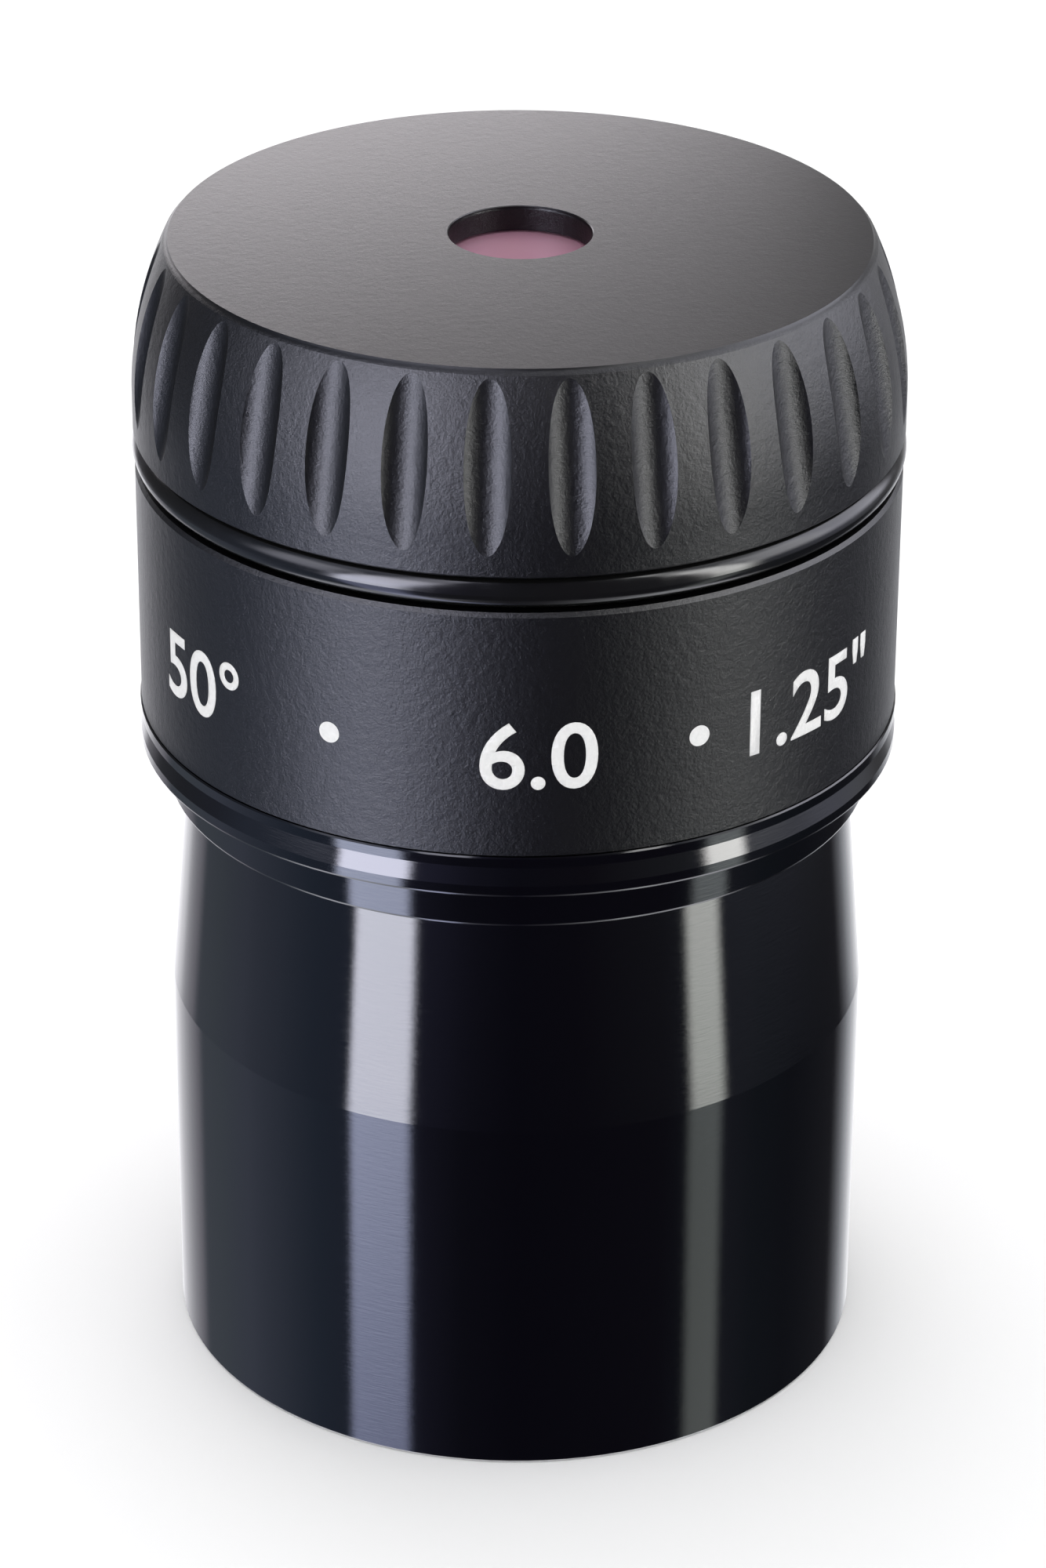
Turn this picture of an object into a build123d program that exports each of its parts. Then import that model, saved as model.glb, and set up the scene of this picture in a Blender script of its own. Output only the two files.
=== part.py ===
from build123d import *
import os
from math import sqrt

# Telescope eyepiece for 1.25 inch focusers, in millimetres.
# It stands on the mouth of its barrel: Z = 0 is the mouth, +Z points to the eye.
# From below: a push-fit barrel with a collar, a lettered housing, an O-ring and a
# scalloped grip cap. Inside, a flanged cell holds two cemented doublets back to back.

# ---- barrel (glossy) ----
BARREL_R = 15.85
BARREL_BORE_R = 13.5
MOUTH_BREAK = 0.12
UNDERCUT_BOTTOM = 17.35
UNDERCUT_TOP = 27.65
UNDERCUT_R = 15.0
SHOULDER_Z = 29.70
COLLAR_R = 17.03
COLLAR_TOP = 31.58
COLLAR_EDGE = 0.06
LOWER_EDGE_RISE = 0.09
LOWER_EDGE_INSET = 0.04
GROOVE_BOTTOM = 30.20
GROOVE_TOP = 31.02
GROOVE_DEPTH = 0.20
GROOVE_LIP = 0.08

# ---- filter thread in the barrel mouth, M28.5 x 0.6 ----
FILTER_PITCH = 0.6
FILTER_TURNS = 7
FILTER_CREST_R = 13.93
FILTER_ROOT_R = 14.25
FILTER_START = 0.5
FILTER_LEAD_R = 14.40

# ---- glare rings turned into the barrel bore ----
GLARE_PITCH = 1.0
GLARE_RINGS = 22
GLARE_START = 6.2
GLARE_DEPTH = 0.25

# ---- screw joints: housing on barrel, cap on housing ----
SCREW_PITCH = 0.75
THREAD_DEPTH = 0.35
SCREW_PLAY = 0.05
BARREL_SCREW_R = 14.60
BARREL_SCREW_TURNS = 5
CAP_SCREW_R = 13.95
CAP_SCREW_TURNS = 4

# ---- housing (bead blasted) ----
HOUSING_R = 16.97
HOUSING_TOP = 43.0
HOUSING_TOP_R = 16.85
HOUSING_TOP_BREAK = 0.20
HOUSING_FOOT_BREAK = 0.08
HOUSING_THREAD_TOP = 35.63
HOUSING_RELIEF_TOP = 36.2
HOUSING_BORE_R = 13.6
WEB_BOTTOM = 38.0
WEB_TOP = 39.8
WEB_BORE_R = 8.0

# ---- O-ring under the cap ----
O_RING_SECTION_R = 0.75
O_RING_R = 16.32
O_RING_Z = 43.82

# ---- grip cap ----
CAP_BOTTOM = 44.60
CAP_R = 17.02
CAP_FOOT_BREAK = 0.10
CAP_DOME_START = 46.3
CAP_DOME_RADIUS = 15.9
CAP_TOP = 53.30
CAP_RIM_Z = 53.06
CAP_RIM_R = 15.30
CAP_NECK_R = 15.55
CAP_CAVITY_R = 12.6
CAP_PLATE_BOTTOM = 51.3
NOSE_RECESS_R = 5.35
NOSE_RECESS_TOP = 52.20
EYE_HOLE_R = 3.15
EYE_HOLE_BREAK = 0.04

# ---- scallops round the cap ----
SCALLOPS = 30
SCALLOP_PHASE = 7.6
SCALLOP_Z = 49.3
SCALLOP_DEPTH = 0.447
SCALLOP_LEAN = 11.2
SCALLOP_CUTTER_R = 1.41
SCALLOP_CUTTER_LENGTH = 20.0

# ---- optics: two equal doublets, convex sides facing ----
LENS_R = 3.75
LENS_BEVEL = 0.10
CROWN_RADIUS = 5.57
CEMENT_RADIUS = 11.0
CROWN_THICK = 2.6
FLINT_THICK = 0.8
DOUBLET_GAP = 0.4
EYE_LENS_Z = 52.05
SPACER_BORE_R = 3.40
GLASS_PLAY = 0.02

# ---- lens cell and its rings ----
CELL_TOP = 52.18
CELL_LIP_R = 3.45
CELL_NOSE_R = 5.25
CELL_CONE_TOP = 43.6
CELL_CONE_R = 8.2
CELL_FLANGE_R = 11.0
CELL_FLANGE_TOP = 41.2
CELL_FOOT_R = 7.90
CELL_BOTTOM = 35.9
CELL_LOCK_TURNS = 3
CELL_CHAMBER_R = 4.6
CELL_FLARE_R = 6.6
RING_PITCH = 0.5
RING_THREAD_DEPTH = 0.22
RETAINER_R = 4.02
RETAINER_BORE_R = 3.2
RETAINER_TURNS = 3
STOP_R = 4.97
STOP_APERTURE_R = 2.65
STOP_Z = 40.6
STOP_BOTTOM = 39.6
STOP_TURNS = 3
LOCK_R = 11.5
LOCK_BOTTOM = 36.5
SLOT_WIDTH = 1.0
SLOT_DEPTH = 0.6


def turned(outline):
    """A solid of revolution about Z from closed edges drawn as (radius, height)."""
    return revolve(make_face(Plane.XZ * outline), Axis.Z)


def turned_points(points):
    """The same, from a closed list of points joined by straight lines."""
    return turned(Polyline(*points, close=True))


def thread_rings(bottom, turns, pitch, root, crest):
    """Points going up a thread drawn as rings, with flat roots and flat crests."""
    points = []
    for turn in range(turns):
        base = bottom + turn * pitch
        points += [
            (root, base),
            (root, base + 0.25 * pitch),
            (crest, base + 0.5 * pitch),
            (crest, base + 0.75 * pitch),
        ]
    return points + [(root, bottom + turns * pitch)]


def sag(radius, height):
    """How far a sphere of this radius falls away at this height from its axis."""
    return radius - sqrt(radius**2 - height**2)


def spanner_slots(ring, bottom, outer):
    """Cut a pair of opposite slots in the underside of a ring, for a spanner."""
    cutter = Box(2 * outer + 2, SLOT_WIDTH, 2 * SLOT_DEPTH)
    return ring - Pos(0, 0, bottom) * cutter


def barrel():
    taper_start = (BARREL_R, UNDERCUT_BOTTOM)
    outside = [
        (FILTER_LEAD_R, 0),
        (BARREL_R - MOUTH_BREAK, 0),
        (BARREL_R, MOUTH_BREAK),
        taper_start,
        (UNDERCUT_R, UNDERCUT_TOP),
        (BARREL_R - LOWER_EDGE_INSET, UNDERCUT_TOP),
        (BARREL_R, UNDERCUT_TOP + LOWER_EDGE_RISE),
        (BARREL_R, SHOULDER_Z),
        (COLLAR_R - LOWER_EDGE_INSET, SHOULDER_Z),
        (COLLAR_R, SHOULDER_Z + LOWER_EDGE_RISE),
        (COLLAR_R, GROOVE_BOTTOM),
        (COLLAR_R - GROOVE_DEPTH, GROOVE_TOP),
        (COLLAR_R, GROOVE_TOP + GROOVE_LIP),
        (COLLAR_R, COLLAR_TOP - COLLAR_EDGE),
        (COLLAR_R - COLLAR_EDGE, COLLAR_TOP),
    ]
    spigot_root = BARREL_SCREW_R - THREAD_DEPTH
    spigot = thread_rings(
        COLLAR_TOP, BARREL_SCREW_TURNS, SCREW_PITCH, spigot_root, BARREL_SCREW_R
    )
    glare = thread_rings(
        GLARE_START,
        GLARE_RINGS,
        GLARE_PITCH,
        BARREL_BORE_R,
        BARREL_BORE_R + GLARE_DEPTH,
    )
    filter_top = FILTER_START + FILTER_TURNS * FILTER_PITCH
    filter_thread = thread_rings(
        FILTER_START, FILTER_TURNS, FILTER_PITCH, FILTER_ROOT_R, FILTER_CREST_R
    )
    inside = (
        [(BARREL_BORE_R, spigot[-1][1])]
        + glare[::-1]
        + [(BARREL_BORE_R, filter_top + FILTER_PITCH)]
        + [(FILTER_ROOT_R, filter_top + FILTER_PITCH)]
        + filter_thread[::-1]
    )
    return turned_points(outside + spigot + inside)


def housing():
    lower_crest = BARREL_SCREW_R + SCREW_PLAY
    lower_root = lower_crest + THREAD_DEPTH
    upper_crest = CAP_SCREW_R + SCREW_PLAY
    upper_root = upper_crest + THREAD_DEPTH
    lower_thread = thread_rings(
        COLLAR_TOP + 0.3, BARREL_SCREW_TURNS, SCREW_PITCH, lower_root, lower_crest
    )
    upper_thread = thread_rings(
        WEB_TOP + 0.2, CAP_SCREW_TURNS, SCREW_PITCH, upper_root, upper_crest
    )
    outside = [
        (HOUSING_R - HOUSING_FOOT_BREAK, COLLAR_TOP),
        (HOUSING_R, COLLAR_TOP + HOUSING_FOOT_BREAK),
        (HOUSING_R, HOUSING_TOP - HOUSING_TOP_BREAK),
        (HOUSING_TOP_R, HOUSING_TOP),
    ]
    inside = (
        upper_thread[::-1]
        + [(upper_root, WEB_TOP), (WEB_BORE_R, WEB_TOP), (WEB_BORE_R, WEB_BOTTOM)]
        + [(HOUSING_BORE_R, WEB_BOTTOM), (HOUSING_BORE_R, HOUSING_RELIEF_TOP)]
        + [(lower_root, HOUSING_RELIEF_TOP)]
        + lower_thread[::-1]
        + [(lower_root, COLLAR_TOP)]
    )
    return turned_points(outside + inside)


def o_ring():
    return Pos(0, 0, O_RING_Z) * Torus(O_RING_R, O_RING_SECTION_R)


def scallop_cutter():
    """A straight round-nosed cut, leaning with the chord of the dome."""
    drop = sag(CAP_DOME_RADIUS, SCALLOP_Z - CAP_DOME_START)
    floor_r = CAP_R - drop - SCALLOP_DEPTH
    nose = Cylinder(SCALLOP_CUTTER_R, SCALLOP_CUTTER_LENGTH)
    touching = Pos(SCALLOP_CUTTER_R, 0, 0) * nose
    return Pos(floor_r, 0, SCALLOP_Z) * Rot(0, -SCALLOP_LEAN, 0) * touching


def grip_cap():
    spigot_root = CAP_SCREW_R - THREAD_DEPTH
    spigot_bottom = HOUSING_TOP - CAP_SCREW_TURNS * SCREW_PITCH
    spigot = thread_rings(
        spigot_bottom, CAP_SCREW_TURNS, SCREW_PITCH, spigot_root, CAP_SCREW_R
    )
    rim_fall = sag(CAP_DOME_RADIUS, CAP_RIM_Z - CAP_DOME_START)
    middle_z = (CAP_DOME_START + CAP_RIM_Z) / 2
    middle_r = CAP_R - sag(CAP_DOME_RADIUS, middle_z - CAP_DOME_START)
    dome_top = (CAP_R - rim_fall, CAP_RIM_Z)
    below = Polyline(
        *spigot,
        (CAP_NECK_R, HOUSING_TOP),
        (CAP_NECK_R, CAP_BOTTOM),
        (CAP_R - CAP_FOOT_BREAK, CAP_BOTTOM),
        (CAP_R, CAP_BOTTOM + CAP_FOOT_BREAK),
        (CAP_R, CAP_DOME_START),
    )
    dome = ThreePointArc((CAP_R, CAP_DOME_START), (middle_r, middle_z), dome_top)
    above = Polyline(
        dome_top,
        (CAP_RIM_R, CAP_TOP),
        (EYE_HOLE_R + EYE_HOLE_BREAK, CAP_TOP),
        (EYE_HOLE_R, CAP_TOP - EYE_HOLE_BREAK),
        (EYE_HOLE_R, NOSE_RECESS_TOP),
        (NOSE_RECESS_R, NOSE_RECESS_TOP),
        (NOSE_RECESS_R, CAP_PLATE_BOTTOM),
        (CAP_CAVITY_R, CAP_PLATE_BOTTOM),
        (CAP_CAVITY_R, spigot_bottom),
        spigot[0],
    )
    cap = turned(below + dome + above)
    cutter = scallop_cutter()
    first = -90 + SCALLOP_PHASE
    for index in range(SCALLOPS):
        cap -= Rot(0, 0, first + index * 360 / SCALLOPS) * cutter
    return cap


def flint():
    """A plane and concave element, plane face up at the origin."""
    edge = -FLINT_THICK - sag(CEMENT_RADIUS, LENS_R)
    half = LENS_R / 2
    middle = (half, -FLINT_THICK - sag(CEMENT_RADIUS, half))
    straight = Polyline(
        (0, -FLINT_THICK),
        (0, 0),
        (LENS_R - LENS_BEVEL, 0),
        (LENS_R, -LENS_BEVEL),
        (LENS_R, edge),
    )
    return turned(straight + ThreePointArc((LENS_R, edge), middle, (0, -FLINT_THICK)))


def crown():
    """A biconvex element with its flatter cemented face up, below a flint."""
    top = -FLINT_THICK
    bottom = top - CROWN_THICK
    half = LENS_R / 2
    upper_edge = (LENS_R, top - sag(CEMENT_RADIUS, LENS_R))
    lower_edge = (LENS_R, bottom + sag(CROWN_RADIUS, LENS_R))
    cemented = ThreePointArc(
        (0, top), (half, top - sag(CEMENT_RADIUS, half)), upper_edge
    )
    convex = ThreePointArc(
        lower_edge, (half, bottom + sag(CROWN_RADIUS, half)), (0, bottom)
    )
    sides = Line(upper_edge, lower_edge) + Line((0, bottom), (0, top))
    return turned(cemented + convex + sides)


def optics():
    """The two doublets and the ring between them."""
    stack_height = 2 * (FLINT_THICK + CROWN_THICK) + DOUBLET_GAP
    to_eye = Pos(0, 0, EYE_LENS_Z)
    to_field = Pos(0, 0, EYE_LENS_Z - stack_height) * Rot(180, 0, 0)
    half_spacer = DOUBLET_GAP / 2 + sag(CROWN_RADIUS, SPACER_BORE_R) - GLASS_PLAY / 2
    middle = EYE_LENS_Z - stack_height / 2
    spacer = turned_points(
        [
            (SPACER_BORE_R, middle - half_spacer),
            (LENS_R, middle - half_spacer),
            (LENS_R, middle + half_spacer),
            (SPACER_BORE_R, middle + half_spacer),
        ]
    )
    return {
        "eye_flint": to_eye * flint(),
        "eye_crown": to_eye * crown(),
        "lens_spacer": spacer,
        "field_crown": to_field * crown(),
        "field_flint": to_field * flint(),
    }


def lens_seat():
    """The height of the lower plane face of the field doublet."""
    return EYE_LENS_Z - 2 * (FLINT_THICK + CROWN_THICK) - DOUBLET_GAP


def lens_cell():
    bore_r = LENS_R + GLASS_PLAY
    retainer_crest = RETAINER_R + GLASS_PLAY
    retainer_root = retainer_crest + RING_THREAD_DEPTH
    retainer_bottom = lens_seat() - RETAINER_TURNS * RING_PITCH
    retainer_thread = thread_rings(
        retainer_bottom, RETAINER_TURNS, RING_PITCH, retainer_root, retainer_crest
    )
    stop_crest = STOP_R + GLASS_PLAY
    stop_root = stop_crest + RING_THREAD_DEPTH
    stop_thread = thread_rings(
        STOP_BOTTOM, STOP_TURNS, RING_PITCH, stop_root, stop_crest
    )
    lock_crest = CELL_FOOT_R
    lock_root = CELL_FOOT_R - THREAD_DEPTH
    lock_bottom = WEB_BOTTOM - CELL_LOCK_TURNS * SCREW_PITCH
    lock_thread = thread_rings(
        lock_bottom, CELL_LOCK_TURNS, SCREW_PITCH, lock_root, lock_crest
    )
    outside = (
        [(CELL_FLARE_R, CELL_BOTTOM), (lock_root, CELL_BOTTOM)]
        + lock_thread[:-1]
        + [(CELL_FOOT_R, WEB_BOTTOM), (CELL_FOOT_R, WEB_TOP)]
        + [(CELL_FLANGE_R, WEB_TOP), (CELL_FLANGE_R, CELL_FLANGE_TOP)]
        + [(CELL_CONE_R, CELL_FLANGE_TOP), (CELL_NOSE_R, CELL_CONE_TOP)]
        + [(CELL_NOSE_R, CELL_TOP), (CELL_LIP_R, CELL_TOP)]
        + [(CELL_LIP_R, EYE_LENS_Z), (bore_r, EYE_LENS_Z)]
    )
    inside = (
        [(bore_r, lens_seat()), (retainer_root, lens_seat())]
        + retainer_thread[:-1][::-1]
        + [(CELL_CHAMBER_R, retainer_bottom)]
        + [(CELL_CHAMBER_R, stop_thread[-1][1])]
        + stop_thread[::-1]
    )
    return turned_points(outside + inside)


def lens_retainer():
    bottom = lens_seat() - RETAINER_TURNS * RING_PITCH
    root = RETAINER_R - RING_THREAD_DEPTH
    thread = thread_rings(bottom, RETAINER_TURNS, RING_PITCH, root, RETAINER_R)
    bore = [(RETAINER_BORE_R, lens_seat()), (RETAINER_BORE_R, bottom)]
    return spanner_slots(turned_points(thread + bore), bottom, RETAINER_R)


def field_stop():
    """A ring whose thin inner edge bounds the field of view."""
    top = STOP_BOTTOM + STOP_TURNS * RING_PITCH
    root = STOP_R - RING_THREAD_DEPTH
    thread = thread_rings(STOP_BOTTOM, STOP_TURNS, RING_PITCH, root, STOP_R)
    wall = STOP_R - 1.0
    bore = [
        (wall, top),
        (STOP_APERTURE_R, STOP_Z + 0.08),
        (STOP_APERTURE_R, STOP_Z),
        (wall, STOP_BOTTOM),
    ]
    return spanner_slots(turned_points(thread + bore), STOP_BOTTOM, STOP_R)


def cell_lock_ring():
    bore_r = CELL_FOOT_R + GLASS_PLAY
    ring = turned_points(
        [
            (bore_r, LOCK_BOTTOM),
            (LOCK_R, LOCK_BOTTOM),
            (LOCK_R, WEB_BOTTOM),
            (bore_r, WEB_BOTTOM),
        ]
    )
    return spanner_slots(ring, LOCK_BOTTOM, LOCK_R)


def eyepiece():
    """Every separate piece of the eyepiece, by node name."""
    nodes = {
        "barrel": barrel(),
        "housing": housing(),
        "o_ring": o_ring(),
        "grip_cap": grip_cap(),
        "lens_cell": lens_cell(),
        "lens_retainer": lens_retainer(),
        "field_stop": field_stop(),
        "cell_lock_ring": cell_lock_ring(),
    }
    nodes.update(optics())
    return nodes


os.makedirs("parts", exist_ok=True)
for name, solid in eyepiece().items():
    export_step(solid, f"parts/{name}.step")
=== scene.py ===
import math

import bpy
import bmesh
from mathutils import Matrix, Vector


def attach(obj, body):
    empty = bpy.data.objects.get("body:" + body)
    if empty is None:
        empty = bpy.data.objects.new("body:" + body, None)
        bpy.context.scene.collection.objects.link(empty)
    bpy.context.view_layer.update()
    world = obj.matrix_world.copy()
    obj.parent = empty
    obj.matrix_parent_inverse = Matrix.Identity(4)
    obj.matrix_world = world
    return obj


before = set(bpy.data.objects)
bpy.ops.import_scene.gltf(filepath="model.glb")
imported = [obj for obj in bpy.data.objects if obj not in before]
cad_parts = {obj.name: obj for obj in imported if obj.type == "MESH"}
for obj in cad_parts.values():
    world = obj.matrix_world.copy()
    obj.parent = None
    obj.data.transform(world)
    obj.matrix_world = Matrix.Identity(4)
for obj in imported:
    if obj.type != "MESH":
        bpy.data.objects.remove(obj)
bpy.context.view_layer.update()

MM = 0.001

# The light that reflections see, as (compass direction in degrees, colour) stops.
# Direction 0 is the camera's side and 90 is to its right.
# The sheets and cards at table height:
SURROUND_LOW = [
    (-180, (1.20, 1.20, 1.24)),
    (-160, (1.15, 1.14, 1.20)),
    (-150, (0.98, 0.98, 1.05)),
    (-136, (0.57, 0.56, 0.65)),
    (-131, (0.24, 0.27, 0.33)),
    (-118, (0.31, 0.36, 0.44)),
    (-102, (0.39, 0.44, 0.60)),
    (-86, (0.34, 0.40, 0.57)),
    (-70, (0.23, 0.30, 0.46)),
    (-36, (0.20, 0.22, 0.36)),
    (-31, (0.13, 0.13, 0.23)),
    (-18, (0.07, 0.07, 0.12)),
    (0, (0.05, 0.045, 0.085)),
    (50, (0.065, 0.06, 0.095)),
    (60, (0.09, 0.10, 0.14)),
    (76, (0.13, 0.14, 0.19)),
    (88, (0.075, 0.09, 0.12)),
    (104, (0.05, 0.055, 0.075)),
    (136, (0.05, 0.05, 0.06)),
    (143, (0.36, 0.37, 0.41)),
    (151, (0.80, 0.82, 0.88)),
    (161, (1.16, 1.17, 1.22)),
    (180, (1.20, 1.20, 1.24)),
]
# The same at the height of the object and above:
SURROUND_HIGH = [
    (-180, (0.28, 0.27, 0.28)),
    (-162, (0.42, 0.41, 0.43)),
    (-154, (0.33, 0.32, 0.36)),
    (-148, (0.29, 0.28, 0.32)),
    (-132, (0.12, 0.12, 0.13)),
    (-115, (0.13, 0.14, 0.17)),
    (-98, (0.19, 0.21, 0.29)),
    (-84, (0.30, 0.36, 0.53)),
    (-60, (0.29, 0.36, 0.56)),
    (-34, (0.31, 0.33, 0.55)),
    (-24, (0.24, 0.24, 0.44)),
    (-12, (0.12, 0.12, 0.21)),
    (0, (0.07, 0.07, 0.12)),
    (20, (0.08, 0.07, 0.11)),
    (48, (0.20, 0.21, 0.25)),
    (70, (0.40, 0.44, 0.56)),
    (84, (0.62, 0.65, 0.80)),
    (104, (0.72, 0.74, 0.92)),
    (118, (0.58, 0.60, 0.68)),
    (132, (0.30, 0.30, 0.32)),
    (143, (0.24, 0.24, 0.25)),
    (152, (0.80, 0.80, 0.82)),
    (180, (0.28, 0.27, 0.28)),
]
# The elevations between which the lower set gives way to the upper one.
SURROUND_CHANGE = (-26, -12)
# Light coming up off the table, by how far it leans sideways (0 to 1).
TABLE_GLOW = [
    (0.0, (0.02, 0.02, 0.03)),
    (0.12, (0.25, 0.25, 0.27)),
    (0.3, (1.6, 1.6, 1.7)),
    (0.5, (3.0, 3.0, 3.2)),
]
# The elevations between which that light fades out.
TABLE_FADE = (-62, -52)
# The tall soft boxes, all in degrees: the compass direction of the middle, how far that
# shifts for each degree of elevation, the half width, how soft the edge is, and
# (elevation, colour) stops. The first two are the bright strips in front, and the
# others light the rims.
STRIP_GAIN = 20.0
STRIP_ELEVATIONS = (-45, 45)
STRIPS = [
    {
        "azimuth": -40.9,
        "lean": 0.17,
        "half": 10.5,
        "soft": 1.2,
        "glow": [
            (-36, (0.105, 0.112, 0.175)),
            (-34, (0.125, 0.134, 0.205)),
            (-33, (0.150, 0.166, 0.245)),
            (-32, (0.200, 0.220, 0.310)),
            (-31, (0.255, 0.272, 0.380)),
            (-28, (0.300, 0.330, 0.440)),
            (-25, (0.420, 0.440, 0.540)),
            (-21, (0.620, 0.630, 0.710)),
            (-10, (0.730, 0.740, 0.880)),
            (-3, (0.770, 0.780, 0.940)),
            (30, (0.640, 0.640, 0.740)),
            (44, (0.200, 0.200, 0.230)),
        ],
    },
    {
        "azimuth": 61.3,
        "lean": -0.16,
        "half": 6.3,
        "soft": 1.2,
        "glow": [
            (-36, (0.064, 0.068, 0.066)),
            (-31, (0.055, 0.060, 0.055)),
            (-28, (0.080, 0.088, 0.094)),
            (-25, (0.170, 0.180, 0.170)),
            (-21, (0.360, 0.370, 0.350)),
            (-10, (0.620, 0.620, 0.600)),
            (-3, (0.770, 0.765, 0.745)),
            (30, (0.800, 0.800, 0.790)),
            (44, (0.300, 0.300, 0.300)),
        ],
    },
    {
        "azimuth": -66.0,
        "lean": 0.0,
        "half": 13.0,
        "soft": 7.0,
        "glow": [
            (-6, (0.0, 0.0, 0.0)),
            (10, (0.180, 0.180, 0.210)),
            (32, (0.220, 0.220, 0.250)),
            (44, (0.060, 0.060, 0.070)),
        ],
    },
    {
        "azimuth": 82.0,
        "lean": 0.0,
        "half": 14.0,
        "soft": 7.0,
        "glow": [
            (-8, (0.0, 0.0, 0.0)),
            (8, (0.230, 0.230, 0.240)),
            (32, (0.260, 0.260, 0.270)),
            (44, (0.060, 0.060, 0.060)),
        ],
    },
    {
        "azimuth": 112.0,
        "lean": 0.0,
        "half": 18.0,
        "soft": 7.0,
        "glow": [
            (-10, (0.0, 0.0, 0.0)),
            (4, (0.170, 0.170, 0.190)),
            (44, (0.170, 0.170, 0.190)),
        ],
    },
    {
        "azimuth": -162.0,
        "lean": 0.0,
        "half": 13.0,
        "soft": 5.0,
        "glow": [
            (-30, (0.0, 0.0, 0.0)),
            (-18, (0.060, 0.060, 0.062)),
            (4, (0.060, 0.060, 0.062)),
            (16, (0.0, 0.0, 0.0)),
        ],
    },
]
ROOM_LIGHT = 1.2
TOP_LIGHT_AT = (-0.0235, 0.0645, 0.0695)
TOP_LIGHT_AIM = (0.0, 0.004, 0.053)
TOP_LIGHT_SIZE = (0.093, 0.02)
TOP_LIGHT_WATTS = 0.0182
TOP_LIGHT_COLOUR = (1.0, 0.95, 0.99)
FLOOR_HALF_WIDTH = 3.0

CAMERA_ELEVATION = 27.13
CAMERA_ROLL = 0.33
CAMERA_DISTANCE = 0.2478
CAMERA_TARGET = (0.00025, 0, 0.0264)
CAMERA_LENS_MM = 124.7
CAMERA_SENSOR_MM = 36
CAMERA_NEAREST = 0.01

BLASTED_BLACK = (0.001, 0.001, 0.0014, 1)
BLASTED_IOR = 1.43
BLASTED_ROUGHNESS = 0.35
BLASTED_BUMP = 0.024 * MM
# The cap's top is faced off: smoother, with shallower dents, above these heights.
FACED_FROM = 53.1 * MM
FACED_FULLY = 53.25 * MM
FACED_ROUGHNESS = 0.30
FACED_LOSS = 0.75

PRINT_RADIUS = 0.01697
PRINT_THICKNESS = 0.00001
PRINT_SINK = 0.00001
PRINT_BASE_Z = 0.0349
PRINT_FONT_SIZE = 0.0043
PRINT_BOLDER = 0.012
PRINT_CURVE_STEPS = 8
PRINT_FACET_DEGREES = 1.0
PRINT_REACH_DEGREES = 80
PRINT_WELD = 0.000001
# The words of the printed band, each with the compass direction of its middle.
PRINTED = [
    ('50\u00b0', -54),
    ('6.0', 3),
    ('1.25"', 48),
]
PRINTED_DOTS = [-28, 27]
DOT_RADIUS = 0.00048
DOT_SIDES = 48


# ---------------------------------------------------------------- node helpers
class Graph:
    """A thin wrapper that adds and links shader nodes in one call."""

    def __init__(self, tree):
        self.tree = tree
        tree.nodes.clear()

    def add(self, kind, inputs=None, **settings):
        node = self.tree.nodes.new(kind)
        for key, value in settings.items():
            setattr(node, key, value)
        for key, value in (inputs or {}).items():
            if isinstance(value, bpy.types.NodeSocket):
                self.tree.links.new(value, node.inputs[key])
            else:
                node.inputs[key].default_value = value
        return node

    def maths(self, operation, a, b=0.0):
        """One sum; b is left out for those that take a single number."""
        return self.add("ShaderNodeMath", {0: a, 1: b}, operation=operation).outputs[0]

    def step(self, value, low, high, start=0.0, end=1.0):
        """A smooth step from start to end as value goes from low to high."""
        node = self.add(
            "ShaderNodeMapRange",
            {0: value, 1: low, 2: high, 3: start, 4: end},
            interpolation_type="SMOOTHSTEP",
        )
        return node.outputs[0]

    def over(self, value, low, high, stops):
        """A colour that changes evenly between (value, colour) stops."""
        part = self.add("ShaderNodeMapRange", {0: value, 1: low, 2: high}).outputs[0]
        node = self.add("ShaderNodeValToRGB", {0: part})
        elements = node.color_ramp.elements
        while len(elements) < len(stops):
            elements.new(1.0)
        for element, (at, colour) in zip(elements, stops):
            element.position = (at - low) / (high - low)
            element.color = (*colour, 1.0)
        return node.outputs[0]

    def mix(self, factor, a, b):
        node = self.add("ShaderNodeMix", {0: factor, 6: a, 7: b}, data_type="RGBA")
        return node.outputs[2]

    def scaled(self, colour, factor):
        inputs = {0: colour, "Scale": factor}
        return self.add("ShaderNodeVectorMath", inputs, operation="SCALE").outputs[0]

    def total(self, a, b):
        return self.add("ShaderNodeVectorMath", {0: a, 1: b}, operation="ADD").outputs[0]


def new_material(name):
    material = bpy.data.materials.new(name)
    material.use_nodes = True
    graph = Graph(material.node_tree)
    output = graph.add("ShaderNodeOutputMaterial")
    shader = graph.add("ShaderNodeBsdfPrincipled")
    material.node_tree.links.new(shader.outputs[0], output.inputs[0])
    return material, graph, shader


def link(graph, socket, shader, name):
    graph.tree.links.new(socket, shader.inputs[name])


def place(graph):
    """Where a point lies on its own piece, in metres."""
    return graph.add("ShaderNodeTexCoord").outputs["Object"]


def noise(graph, vector, scale, detail=2.0, roughness=0.5, stretch=(1, 1, 1)):
    """Noise in the range 0 to 1, with features about 1 / scale metres across."""
    moved = graph.add(
        "ShaderNodeMapping", {"Vector": vector, "Scale": stretch}
    ).outputs[0]
    node = graph.add(
        "ShaderNodeTexNoise",
        {"Vector": moved, "Scale": scale, "Detail": detail, "Roughness": roughness},
    )
    return node.outputs[0]


def bump(graph, shader, height, distance):
    node = graph.add(
        "ShaderNodeBump", {"Strength": 1.0, "Distance": distance, "Height": height}
    )
    link(graph, node.outputs[0], shader, "Normal")


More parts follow.
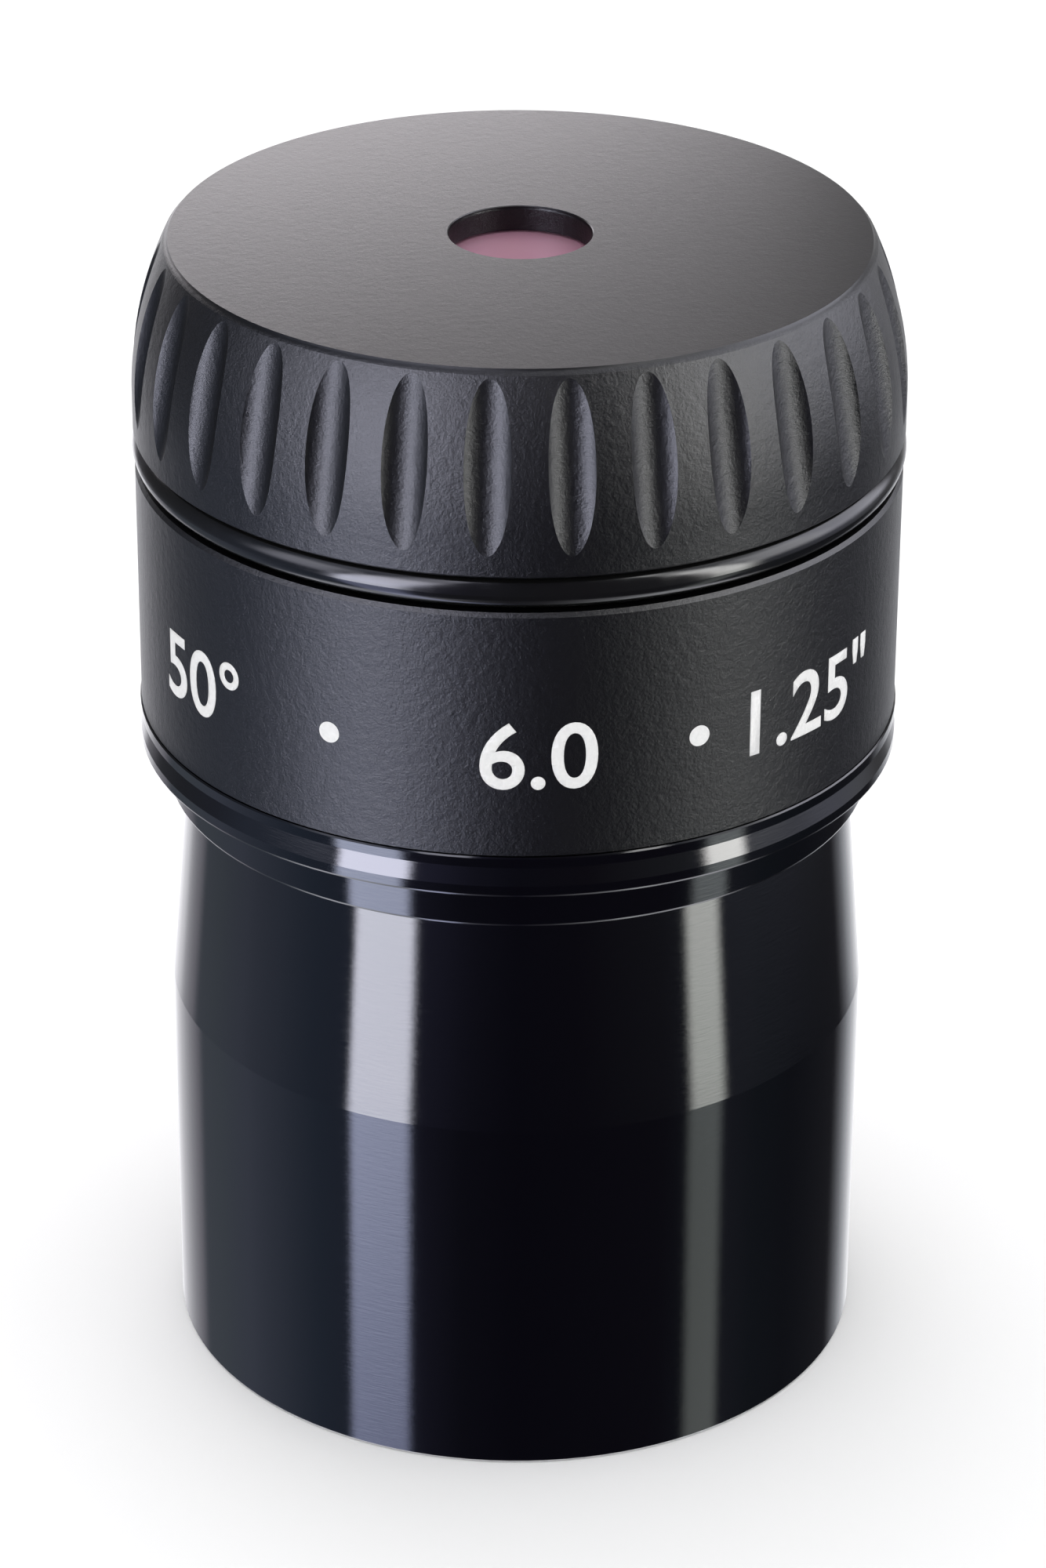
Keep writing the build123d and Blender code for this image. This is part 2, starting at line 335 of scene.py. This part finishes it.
# ------------------------------------------------------------------- materials
def gloss_anodised():
    """Polished, black-dyed aluminium with the faint streaks of turning."""
    material, graph, shader = new_material("gloss_anodised")
    where = place(graph)
    streaks = noise(graph, where, 700, 4, 0.7, (1, 1, 22))
    chatter = noise(graph, where, 1500, 2, 0.5, (1, 1, 5))
    relief = graph.maths("ADD", streaks, graph.maths("MULTIPLY", chatter, 0.6))
    shader.inputs["Base Color"].default_value = (0.0003, 0.0003, 0.0006, 1)
    shader.inputs["IOR"].default_value = 1.5
    rough = graph.step(streaks, 0.3, 0.75, 0.045, 0.085)
    link(graph, rough, shader, "Roughness")
    bump(graph, shader, relief, 0.0018 * MM)
    return material


def blasted_relief(graph, where):
    """The overlapping dents of bead blasting, about a tenth of a millimetre across."""
    dents = noise(graph, where, 7000, 4, 0.75)
    swells = noise(graph, where, 2600, 2, 0.5)
    return graph.maths("ADD", dents, graph.maths("MULTIPLY", swells, 0.9))


def blasted_anodised():
    """Bead-blasted, black-dyed aluminium: a fine, even, matte grain."""
    material, graph, shader = new_material("blasted_anodised")
    where = place(graph)
    shader.inputs["Base Color"].default_value = BLASTED_BLACK
    shader.inputs["IOR"].default_value = BLASTED_IOR
    shader.inputs["Roughness"].default_value = BLASTED_ROUGHNESS
    bump(graph, shader, blasted_relief(graph, where), BLASTED_BUMP)
    return material


def cap_finish():
    """The cap: blasted all over, but finer on its faced-off top."""
    material, graph, shader = new_material("cap_finish")
    where = place(graph)
    height = graph.add("ShaderNodeSeparateXYZ", {0: where}).outputs[2]
    on_top = graph.step(height, FACED_FROM, FACED_FULLY)
    depth = graph.maths("SUBTRACT", 1.0, graph.maths("MULTIPLY", on_top, FACED_LOSS))
    relief = graph.maths("MULTIPLY", blasted_relief(graph, where), depth)
    rough = graph.step(on_top, 0.0, 1.0, BLASTED_ROUGHNESS, FACED_ROUGHNESS)
    shader.inputs["Base Color"].default_value = BLASTED_BLACK
    shader.inputs["IOR"].default_value = BLASTED_IOR
    link(graph, rough, shader, "Roughness")
    bump(graph, shader, relief, BLASTED_BUMP)
    return material


def glossy_rubber():
    """Black rubber, shiny with a slight unevenness left by the mould."""
    material, graph, shader = new_material("glossy_rubber")
    where = place(graph)
    ripple = noise(graph, where, 700, 2, 0.5)
    shader.inputs["Base Color"].default_value = (0.004, 0.004, 0.004, 1)
    shader.inputs["IOR"].default_value = 1.4
    link(graph, graph.step(ripple, 0.3, 0.7, 0.12, 0.2), shader, "Roughness")
    bump(graph, shader, ripple, 0.004 * MM)
    return material


def inner_anodised():
    """Matte black inside parts, with fine rings left by the lathe."""
    material, graph, shader = new_material("inner_anodised")
    where = place(graph)
    rings = noise(graph, where, 300, 2, 0.5, (1, 1, 40))
    shader.inputs["Base Color"].default_value = (0.006, 0.006, 0.007, 1)
    shader.inputs["Roughness"].default_value = 0.5
    bump(graph, shader, rings, 0.004 * MM)
    return material


def coated_glass():
    """Lens glass with a magenta coating; its base colour is a painted magenta glow,
    standing in for the soft lights reflected in the coating.
    """
    material, graph, shader = new_material("coated_glass")
    where = place(graph)
    drift = noise(graph, where, 260, 1, 0.5)
    # Painted reflection: the pink to magenta base colour stands in for the soft boxes
    # mirrored in the coated lens.
    painted_reflection_glow = graph.mix(drift, (0.66, 0.30, 0.47, 1), (0.70, 0.42, 0.50, 1))
    link(graph, painted_reflection_glow, shader, "Base Color")
    tint = graph.mix(drift, (0.95, 0.34, 0.62, 1), (0.80, 0.36, 0.74, 1))
    link(graph, tint, shader, "Specular Tint")
    shader.inputs["Roughness"].default_value = 0.04
    shader.inputs["IOR"].default_value = 1.62
    shader.inputs["Transmission Weight"].default_value = 0.4
    return material


def white_print():
    """Matte white ink, a little uneven where it was pressed on."""
    material, graph, shader = new_material("white_print")
    where = place(graph)
    cover = noise(graph, where, 5000, 2, 0.6)
    shade = graph.mix(cover, (0.62, 0.62, 0.62, 1), (0.78, 0.78, 0.77, 1))
    link(graph, shade, shader, "Base Color")
    shader.inputs["Roughness"].default_value = 0.55
    bump(graph, shader, cover, 0.006 * MM)
    return material


def finish_nodes():
    finishes = {
        "barrel": gloss_anodised(),
        "housing": blasted_anodised(),
        "grip_cap": cap_finish(),
        "o_ring": glossy_rubber(),
    }
    inner = inner_anodised()
    glass = coated_glass()
    for name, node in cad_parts.items():
        if name in finishes:
            material = finishes[name]
        elif name.endswith(("flint", "crown")):
            material = glass
        else:
            material = inner
        node.data.materials.clear()
        node.data.materials.append(material)


# ----------------------------------------------------------------------- print
def flat_word(word):
    """The flat mesh of a word in Blender's own font, its middle at the origin."""
    curve = bpy.data.curves.new("word", "FONT")
    curve.body = word
    curve.size = PRINT_FONT_SIZE
    curve.offset = PRINT_BOLDER * PRINT_FONT_SIZE
    curve.align_x = "CENTER"
    curve.resolution_u = PRINT_CURVE_STEPS
    holder = bpy.data.objects.new("word", curve)
    mesh = bpy.data.meshes.new_from_object(holder)
    bpy.data.objects.remove(holder)
    bpy.data.curves.remove(curve)
    return mesh


def housing_print():
    """Plain numerals and dots in white, a hair proud of the housing."""
    shape = bmesh.new()
    for word, azimuth in PRINTED:
        mesh = flat_word(word)
        old = set(shape.verts)
        shape.from_mesh(mesh)
        bpy.data.meshes.remove(mesh)
        added = [vert for vert in shape.verts if vert not in old]
        shift = math.radians(azimuth) * PRINT_RADIUS
        bmesh.ops.translate(shape, verts=added, vec=(shift, 0, 0))
    capital = max(vert.co.y for vert in shape.verts)
    for azimuth in PRINTED_DOTS:
        middle = Matrix.Translation(
            (math.radians(azimuth) * PRINT_RADIUS, capital / 2, 0)
        )
        bmesh.ops.create_circle(
            shape, cap_ends=True, segments=DOT_SIDES, radius=DOT_RADIUS, matrix=middle
        )
    bmesh.ops.remove_doubles(shape, verts=shape.verts, dist=PRINT_WELD)
    step = math.radians(PRINT_FACET_DEGREES) * PRINT_RADIUS
    for index in range(-PRINT_REACH_DEGREES, PRINT_REACH_DEGREES + 1):
        bmesh.ops.bisect_plane(
            shape,
            geom=shape.verts[:] + shape.edges[:] + shape.faces[:],
            plane_co=(index * step, 0, 0),
            plane_no=(1, 0, 0),
        )
    bmesh.ops.triangulate(shape, faces=shape.faces)
    raised = bmesh.ops.extrude_face_region(shape, geom=shape.faces[:])
    fronts = [item for item in raised["geom"] if isinstance(item, bmesh.types.BMVert)]
    for vert in shape.verts:
        vert.co.z = -PRINT_SINK
    for vert in fronts:
        vert.co.z = PRINT_THICKNESS
    for vert in shape.verts:
        angle = vert.co.x / PRINT_RADIUS
        radius = PRINT_RADIUS + vert.co.z
        height = PRINT_BASE_Z + vert.co.y
        vert.co = (radius * math.sin(angle), -radius * math.cos(angle), height)
    bmesh.ops.recalc_face_normals(shape, faces=shape.faces)
    mesh = bpy.data.meshes.new("housing_print")
    shape.to_mesh(mesh)
    shape.free()
    mesh.materials.append(white_print())
    piece = bpy.data.objects.new("housing_print", mesh)
    bpy.context.scene.collection.objects.link(piece)
    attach(piece, "housing")


# ---------------------------------------------------------------------- studio
def studio_world():
    """Soft boxes, pale sheets and dark card in reflections, and an even white room."""
    world = bpy.data.worlds.new("studio")
    bpy.context.scene.world = world
    world.use_nodes = True
    graph = Graph(world.node_tree)
    direction = graph.add("ShaderNodeTexCoord").outputs["Generated"]
    axes = graph.add("ShaderNodeSeparateXYZ", {0: direction}).outputs
    toward = graph.maths("MULTIPLY", axes[1], -1.0)
    azimuth = graph.maths("DEGREES", graph.maths("ARCTAN2", axes[0], toward))
    elevation = graph.maths("DEGREES", graph.maths("ARCSINE", axes[2]))

    near_table = graph.over(azimuth, -180, 180, SURROUND_LOW)
    upright = graph.over(azimuth, -180, 180, SURROUND_HIGH)
    change = graph.step(elevation, *SURROUND_CHANGE)
    gloss_light = graph.mix(change, near_table, upright)
    for strip in STRIPS:
        lean = graph.maths("MULTIPLY", elevation, strip["lean"])
        middle = graph.maths("ADD", lean, strip["azimuth"])
        aside = graph.maths("ABSOLUTE", graph.maths("SUBTRACT", azimuth, middle))
        edge = (strip["half"] - strip["soft"], strip["half"] + strip["soft"])
        inside = graph.step(aside, *edge, 1.0, 0.0)
        glow = graph.over(elevation, *STRIP_ELEVATIONS, strip["glow"])
        glow = graph.scaled(glow, graph.maths("MULTIPLY", inside, STRIP_GAIN))
        gloss_light = graph.total(gloss_light, glow)
    sideways = graph.maths("ABSOLUTE", axes[0])
    table = graph.over(sideways, 0, 1, TABLE_GLOW)
    table = graph.scaled(table, graph.step(elevation, *TABLE_FADE, 1.0, 0.0))
    gloss_light = graph.total(gloss_light, table)

    rays = graph.add("ShaderNodeLightPath").outputs
    room = (ROOM_LIGHT, ROOM_LIGHT, ROOM_LIGHT, 1)
    colour = graph.mix(rays["Is Glossy Ray"], room, gloss_light)
    background = graph.add("ShaderNodeBackground", {0: colour, 1: 1.0})
    output = graph.add("ShaderNodeOutputWorld")
    graph.tree.links.new(background.outputs[0], output.inputs[0])


def top_light():
    """A small soft box low behind and to the left, which grades the flat top."""
    data = bpy.data.lights.new("top_light", "AREA")
    data.shape = "ELLIPSE"
    data.size, data.size_y = TOP_LIGHT_SIZE
    data.energy = TOP_LIGHT_WATTS
    data.color = TOP_LIGHT_COLOUR
    light = bpy.data.objects.new("top_light", data)
    light.location = TOP_LIGHT_AT
    aim = Vector(TOP_LIGHT_AIM) - light.location
    light.rotation_euler = aim.to_track_quat("-Z", "Y").to_euler()
    light.visible_camera = False
    bpy.context.scene.collection.objects.link(light)


def floor():
    """A plain pale floor, left out of reflections: the studio has its own table."""
    mesh = bpy.data.meshes.new("floor")
    half = FLOOR_HALF_WIDTH
    corners = [(-half, -half, 0), (half, -half, 0), (half, half, 0), (-half, half, 0)]
    mesh.from_pydata(corners, [], [(0, 1, 2, 3)])
    plane = bpy.data.objects.new("floor", mesh)
    bpy.context.scene.collection.objects.link(plane)
    material, _, shader = new_material("pale_floor")
    shader.inputs["Base Color"].default_value = (0.95, 0.95, 0.95, 1)
    shader.inputs["Roughness"].default_value = 0.9
    mesh.materials.append(material)
    plane.visible_glossy = False


def camera():
    """At the viewing angle: 27 degrees above the horizon, from the -Y side."""
    elevation = math.radians(CAMERA_ELEVATION)
    data = bpy.data.cameras.new("camera")
    data.lens = CAMERA_LENS_MM
    data.sensor_width = CAMERA_SENSOR_MM
    data.clip_start = CAMERA_NEAREST
    view = bpy.data.objects.new("camera", data)
    back = Vector((0, -math.cos(elevation), math.sin(elevation)))
    eye = Vector(CAMERA_TARGET) + CAMERA_DISTANCE * back
    tilt = Matrix.Rotation(math.pi / 2 - elevation, 4, "X")
    roll = Matrix.Rotation(math.radians(CAMERA_ROLL), 4, "Z")
    view.matrix_world = Matrix.Translation(eye) @ tilt @ roll
    bpy.context.scene.collection.objects.link(view)
    bpy.context.scene.camera = view


finish_nodes()
housing_print()
studio_world()
top_light()
floor()
camera()
bpy.context.scene.view_settings.view_transform = "Standard"
